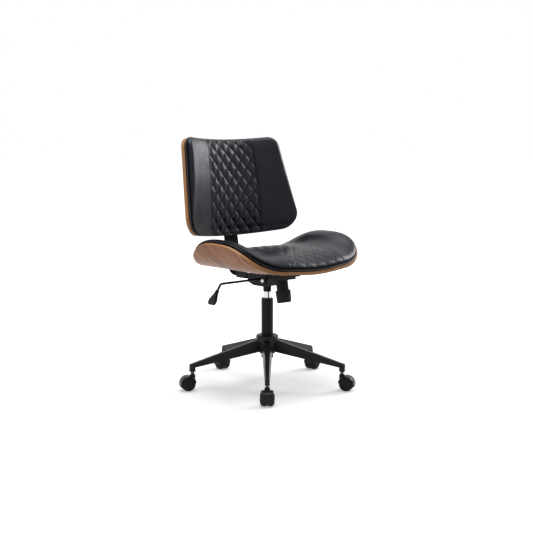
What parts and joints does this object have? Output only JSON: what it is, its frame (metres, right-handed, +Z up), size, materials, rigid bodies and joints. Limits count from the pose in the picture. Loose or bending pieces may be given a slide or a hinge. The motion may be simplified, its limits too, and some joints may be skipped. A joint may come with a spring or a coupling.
{
  "type": "office chair",
  "caption": "Swivel office chair with bent walnut plywood seat and back, quilted black leather pads, gas lift, tilt mechanism and castor base",
  "frame": {"origin": "on the floor under the column's axis", "axes": "+Z up, the sitter faces -Y, the sitter's right is -X"},
  "size_m": [0.6095, 0.5995, 0.8613],
  "materials": {
    "black_leather": "soft synthetic leather over foam, quilted, semi-gloss",
    "walnut_ply": "satin lacquered walnut veneer on bent plywood",
    "black_steel": "black powder coat, satin",
    "black_nylon": "moulded black nylon, fine texture",
    "black_gloss": "smooth moulded black plastic",
    "chrome_steel": "polished chromed cylinder",
    "bright_steel": "zinc plated steel"
  },
  "bodies": {
    "base": {"base_star": "black_nylon", "column_tube": "black_steel", "guide_bush": "black_nylon", "thrust_bearing": "bright_steel"},
    "rod": {"piston_rod": "bright_steel", "rod_clip": "bright_steel"},
    "mechanism": {"gas_cylinder": "chrome_steel", "taper_socket": "black_steel", "tilt_housing": "black_steel", "pivot_bolt": "bright_steel", "pivot_nut": "bright_steel", "lever_bush": "black_nylon", "spring_tube": "black_steel", "tilt_spring": "bright_steel"},
    "seat": {"seat_plate": "black_steel", "seat_bolts": "bright_steel", "seat_shell": "walnut_ply", "seat_cushion": "black_leather", "back_bar": "black_steel", "bar_bolts": "bright_steel", "back_shell": "walnut_ply", "back_bolts": "black_steel", "back_cushion": "black_leather"},
    "lever": {"lever_rod": "black_steel", "lever_pin": "bright_steel", "lever_paddle": "black_nylon"},
    "valve": {"valve_button": "bright_steel"},
    "tension": {"tension_bolt": "bright_steel", "spring_cup": "bright_steel"},
    "knob": {"tension_knob": "black_nylon"},
    "castor_1": {"castor_1_stem": "bright_steel", "castor_1_hood": "black_gloss", "castor_1_axle": "bright_steel"},
    "wheel_1_left": {"castor_1_wheel_left": "black_nylon"},
    "wheel_1_right": {"castor_1_wheel_right": "black_nylon"},
    "castor_2": {"castor_2_stem": "bright_steel", "castor_2_hood": "black_gloss", "castor_2_axle": "bright_steel"},
    "wheel_2_left": {"castor_2_wheel_left": "black_nylon"},
    "wheel_2_right": {"castor_2_wheel_right": "black_nylon"},
    "castor_3": {"castor_3_stem": "bright_steel", "castor_3_hood": "black_gloss", "castor_3_axle": "bright_steel"},
    "wheel_3_left": {"castor_3_wheel_left": "black_nylon"},
    "wheel_3_right": {"castor_3_wheel_right": "black_nylon"},
    "castor_4": {"castor_4_stem": "bright_steel", "castor_4_hood": "black_gloss", "castor_4_axle": "bright_steel"},
    "wheel_4_left": {"castor_4_wheel_left": "black_nylon"},
    "wheel_4_right": {"castor_4_wheel_right": "black_nylon"},
    "castor_5": {"castor_5_stem": "bright_steel", "castor_5_hood": "black_gloss", "castor_5_axle": "bright_steel"},
    "wheel_5_left": {"castor_5_wheel_left": "black_nylon"},
    "wheel_5_right": {"castor_5_wheel_right": "black_nylon"}
  },
  "joints": [
    {"name": "swivel", "type": "hinge", "parent": "base", "child": "rod", "pos_m": [0, 0, 0.105], "axis": [0, 0, 1], "continuous": true},
    {"name": "lift", "type": "slide", "parent": "rod", "child": "mechanism", "axis": [0, 0, 1], "range_m": [-0.022, 0.078]},
    {"name": "tilt", "type": "hinge", "parent": "mechanism", "child": "seat", "pos_m": [0, -0.024, 0.376], "axis": [-1, 0, 0], "range_deg": [0, 12], "stiffness_Nm_per_rad": 110, "springref_deg": -17.19},
    {"name": "height_lever", "type": "hinge", "parent": "mechanism", "child": "lever", "pos_m": [-0.0325, 0, 0.378], "axis": [0, 1, 0], "range_deg": [0, 6], "stiffness_Nm_per_rad": 1, "springref_deg": -8.59},
    {"name": "valve_press", "type": "slide", "parent": "mechanism", "child": "valve", "axis": [0, 0, -1], "range_m": [0, 0.0035]},
    {"name": "tension_draw", "type": "slide", "parent": "mechanism", "child": "tension", "axis": [0, 0.1822, 0.9833], "range_m": [0, 0.0105], "deforming": ["tilt_spring"]},
    {"name": "tension_turn", "type": "hinge", "parent": "tension", "child": "knob", "pos_m": [0, -0.073, 0.382], "axis": [0, 0.1822, 0.9833], "continuous": true},
    {"name": "castor_1_swivel", "type": "hinge", "parent": "base", "child": "castor_1", "pos_m": [-0.18066, -0.20065, 0.066], "axis": [0, 0, 1], "continuous": true},
    {"name": "castor_1_roll_left", "type": "hinge", "parent": "castor_1", "child": "wheel_1_left", "pos_m": [-0.19204, -0.21328, 0.025], "axis": [-0.7431, 0.6691, 0], "continuous": true},
    {"name": "castor_1_roll_right", "type": "hinge", "parent": "castor_1", "child": "wheel_1_right", "pos_m": [-0.19204, -0.21328, 0.025], "axis": [-0.7431, 0.6691, 0], "continuous": true},
    {"name": "castor_2_swivel", "type": "hinge", "parent": "base", "child": "castor_2", "pos_m": [0.135, -0.23383, 0.066], "axis": [0, 0, 1], "continuous": true},
    {"name": "castor_2_roll_left", "type": "hinge", "parent": "castor_2", "child": "wheel_2_left", "pos_m": [0.1435, -0.24855, 0.025], "axis": [-0.866, -0.5, 0], "continuous": true},
    {"name": "castor_2_roll_right", "type": "hinge", "parent": "castor_2", "child": "wheel_2_right", "pos_m": [0.1435, -0.24855, 0.025], "axis": [-0.866, -0.5, 0], "continuous": true},
    {"name": "castor_3_swivel", "type": "hinge", "parent": "base", "child": "castor_3", "pos_m": [0.2641, 0.05614, 0.066], "axis": [0, 0, 1], "continuous": true},
    {"name": "castor_3_roll_left", "type": "hinge", "parent": "castor_3", "child": "wheel_3_left", "pos_m": [0.28073, 0.05967, 0.025], "axis": [0.2079, -0.9781, 0], "continuous": true},
    {"name": "castor_3_roll_right", "type": "hinge", "parent": "castor_3", "child": "wheel_3_right", "pos_m": [0.28073, 0.05967, 0.025], "axis": [0.2079, -0.9781, 0], "continuous": true},
    {"name": "castor_4_swivel", "type": "hinge", "parent": "base", "child": "castor_4", "pos_m": [0.02822, 0.26852, 0.066], "axis": [0, 0, 1], "continuous": true},
    {"name": "castor_4_roll_left", "type": "hinge", "parent": "castor_4", "child": "wheel_4_left", "pos_m": [0.03, 0.28543, 0.025], "axis": [0.9945, -0.1045, 0], "continuous": true},
    {"name": "castor_4_roll_right", "type": "hinge", "parent": "castor_4", "child": "wheel_4_right", "pos_m": [0.03, 0.28543, 0.025], "axis": [0.9945, -0.1045, 0], "continuous": true},
    {"name": "castor_5_swivel", "type": "hinge", "parent": "base", "child": "castor_5", "pos_m": [-0.24666, 0.10982, 0.066], "axis": [0, 0, 1], "continuous": true},
    {"name": "castor_5_roll_left", "type": "hinge", "parent": "castor_5", "child": "wheel_5_left", "pos_m": [-0.26219, 0.11673, 0.025], "axis": [0.4067, 0.9135, 0], "continuous": true},
    {"name": "castor_5_roll_right", "type": "hinge", "parent": "castor_5", "child": "wheel_5_right", "pos_m": [-0.26219, 0.11673, 0.025], "axis": [0.4067, 0.9135, 0], "continuous": true}
  ],
  "couplings": [
    {"joint": "valve_press", "follows": "height_lever", "m_per_rad": 0.0325},
    {"joint": "tension_draw", "follows": "tilt", "m_per_rad": 0.0485}
  ]
}
